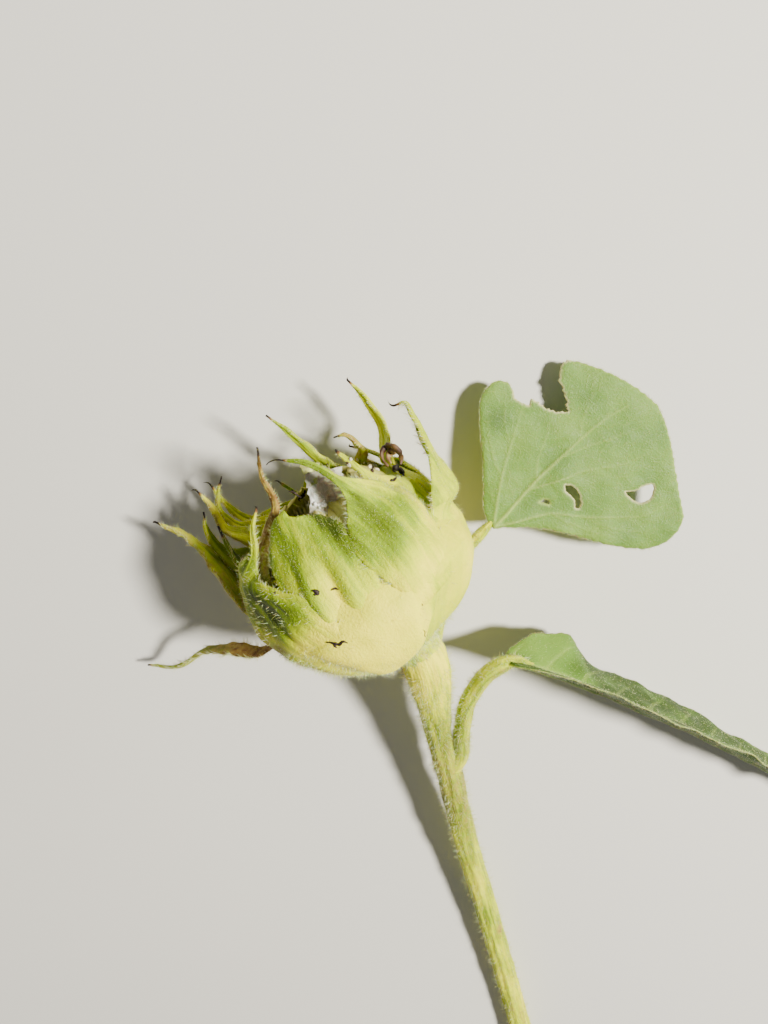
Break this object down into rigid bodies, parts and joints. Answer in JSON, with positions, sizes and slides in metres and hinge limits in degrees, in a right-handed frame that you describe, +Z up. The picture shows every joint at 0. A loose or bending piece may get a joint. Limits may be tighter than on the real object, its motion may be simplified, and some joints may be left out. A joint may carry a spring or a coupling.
{
  "type": "cut sunflower head with upper stem and leaves",
  "caption": "Closed sunflower head in a ring of green bracts, on its cut upper stem, with a broad stalked leaf and a narrow folded leaf, lying down.",
  "frame": {"origin": "middle of the whole plant's box, at the height of the surface that it lies on", "axes": "+Z up. The stem runs along Y, its cut end at -Y and the flower head towards +Y. The folded leaf reaches to +X, the drooping bract to -X"},
  "size_m": [0.148, 0.1736, 0.039],
  "materials": {
    "receptacle": "smooth, waxy, pale yellow with fine white hairs",
    "bract": "matt leafy yellow green, white hairs along the edges, tips dried brown",
    "stem": "satin, ridged, olive yellow, paler below, with stiff white hairs",
    "stalk": "satin, olive yellow, with short white hairs",
    "leaf_blade": "matt grey green, paler veins, rough with short hairs"
  },
  "bodies": {
    "root": {"stem": "stem", "receptacle": "receptacle", "bract_front_right": "bract", "bract_lower_left": "bract", "bract_right": "bract", "bract_under_right": "bract", "bract_under_middle": "bract", "bract_under_left": "bract", "bract_left_low": "bract", "bract_left_outer": "bract", "bract_front_left": "bract", "bract_upper_fold": "bract", "bract_upper_tall": "bract", "bract_upper_small": "bract", "bract_upper_left": "bract", "bract_left_far": "bract", "bract_left_middle": "bract", "bract_left_dark": "bract", "bract_left_high": "bract", "bract_left_inner": "bract", "bract_droop": "bract", "broad_leaf_stalk": "stalk", "folded_leaf_stalk": "stalk", "broad_leaf": "leaf_blade", "folded_leaf": "leaf_blade"}
  },
  "joints": []
}
